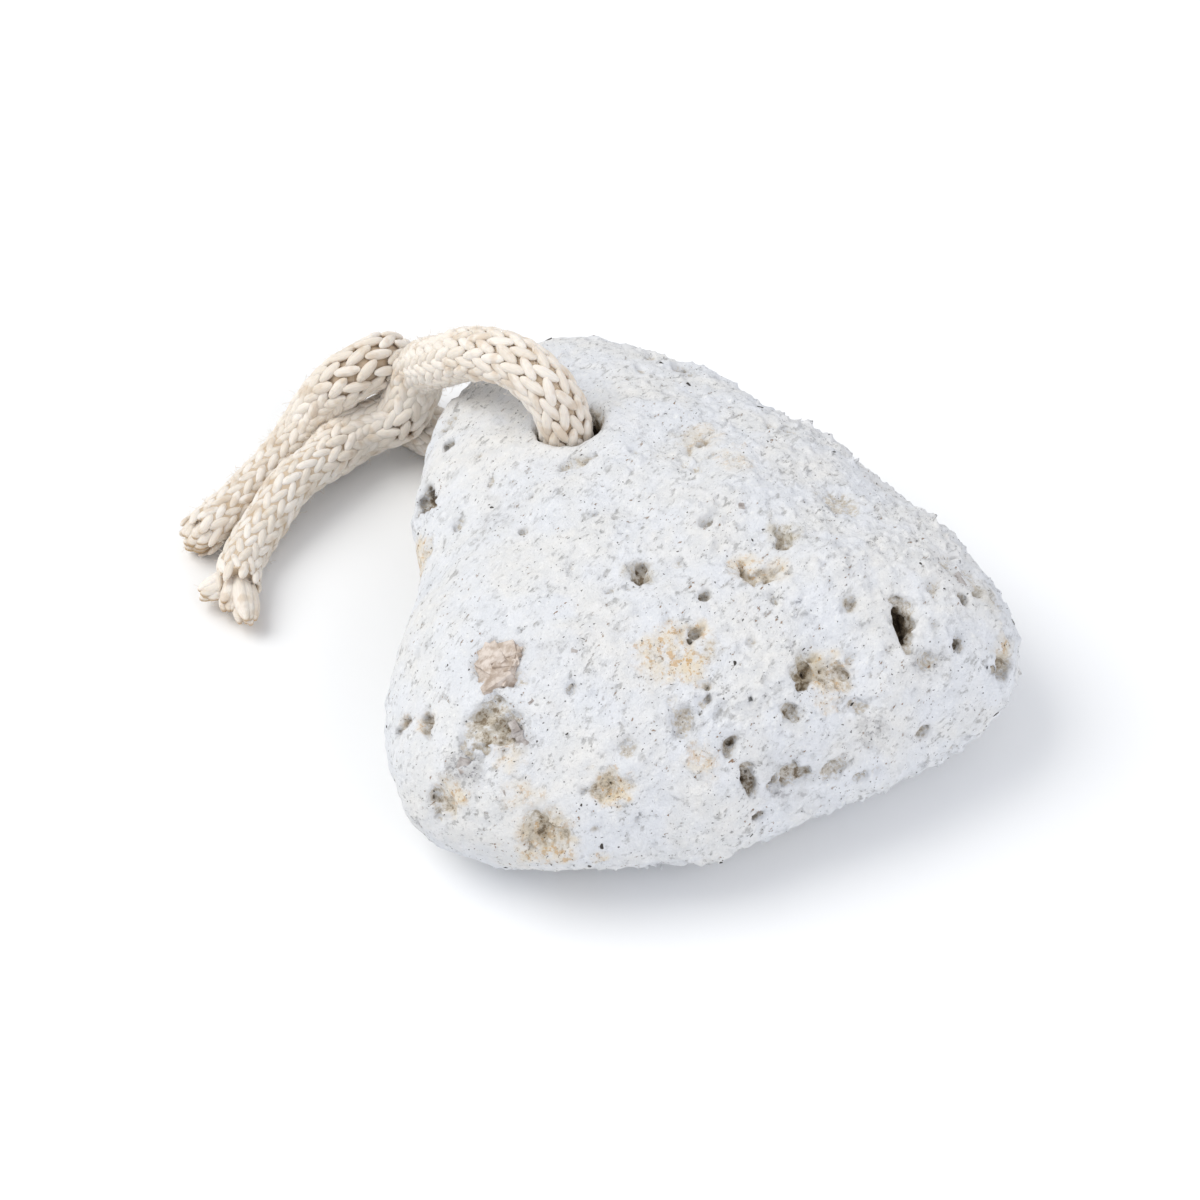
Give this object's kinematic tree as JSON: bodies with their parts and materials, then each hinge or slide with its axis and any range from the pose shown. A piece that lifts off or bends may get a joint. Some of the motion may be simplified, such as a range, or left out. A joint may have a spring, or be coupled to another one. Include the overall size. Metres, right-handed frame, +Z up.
{
  "type": "pumice stone",
  "caption": "Natural pumice foot stone, rounded, pitted and flat underneath, with a knotted cotton rope through a hole in its narrow end.",
  "frame": {"origin": "on the surface that the stone rests on, below the middle of the stone's own box, the rope left out", "axes": "+Y towards the narrow end with the rope, which is the stone's longest extent, and +Z up, its shortest"},
  "size_m": [0.083, 0.0938, 0.0333],
  "materials": {
    "pumice": "dry, powdery, near-white volcanic glass foam with warm stains in its pits",
    "cotton_rope": "undyed braided cotton"
  },
  "bodies": {
    "root": {"pumice_stone": "pumice", "rope": "cotton_rope"}
  },
  "joints": []
}
